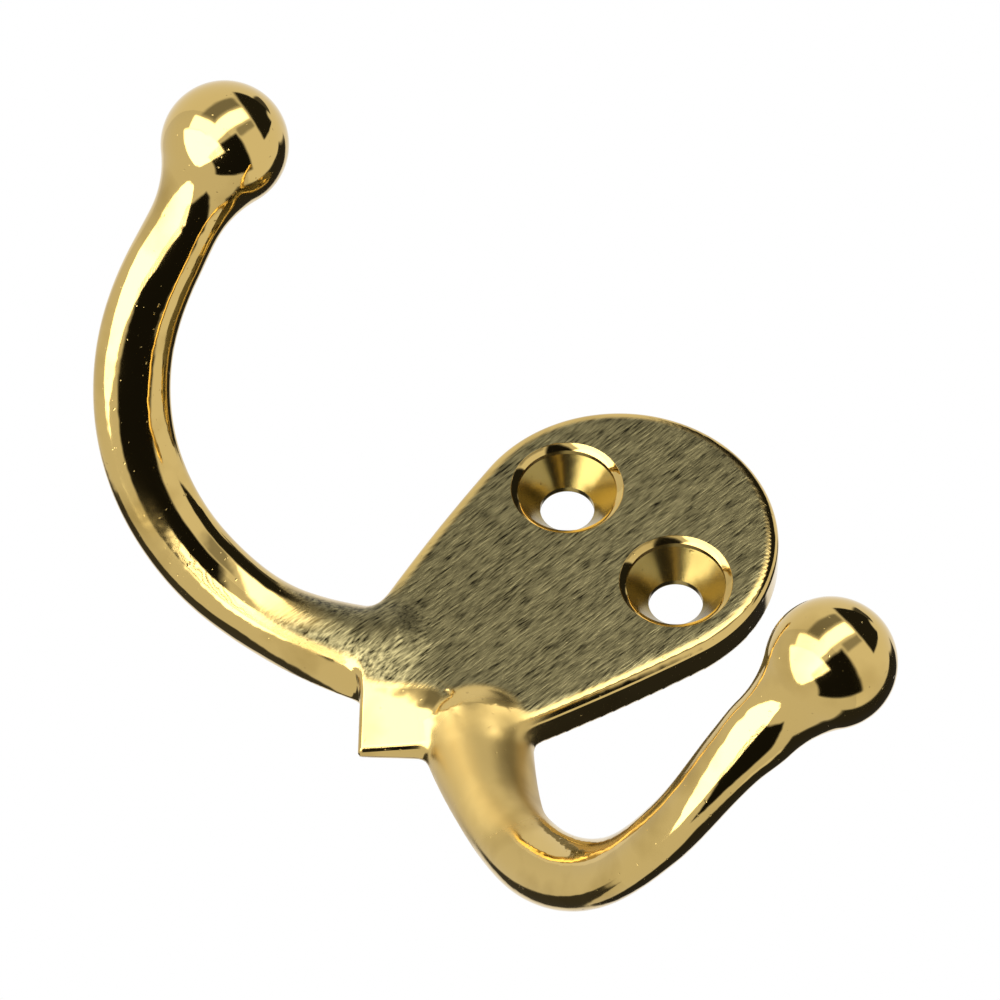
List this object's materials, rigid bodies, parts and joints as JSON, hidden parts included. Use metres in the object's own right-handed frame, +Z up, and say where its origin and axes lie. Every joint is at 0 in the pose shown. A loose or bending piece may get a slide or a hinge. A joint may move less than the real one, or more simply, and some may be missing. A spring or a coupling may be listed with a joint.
{
  "type": "double robe hook",
  "caption": "Cast wall hook with a spade-shaped plate, a V point and countersunk screw holes, and arms on both sides that curve out, forward and up to ball tips.",
  "frame": {"origin": "on the wall face at the back of the plate, midway between the two screw holes", "axes": "+X to the right as the hook is seen on its wall, +Z up, +Y into the wall, so the hook stands out towards -Y"},
  "size_m": [0.087, 0.0397, 0.0474],
  "materials": {
    "polished_brass": "mirror-polished cast brass, with the front face of the plate brushed along its length to a satin"
  },
  "bodies": {
    "root": {"hook_casting": "polished_brass"}
  },
  "joints": []
}
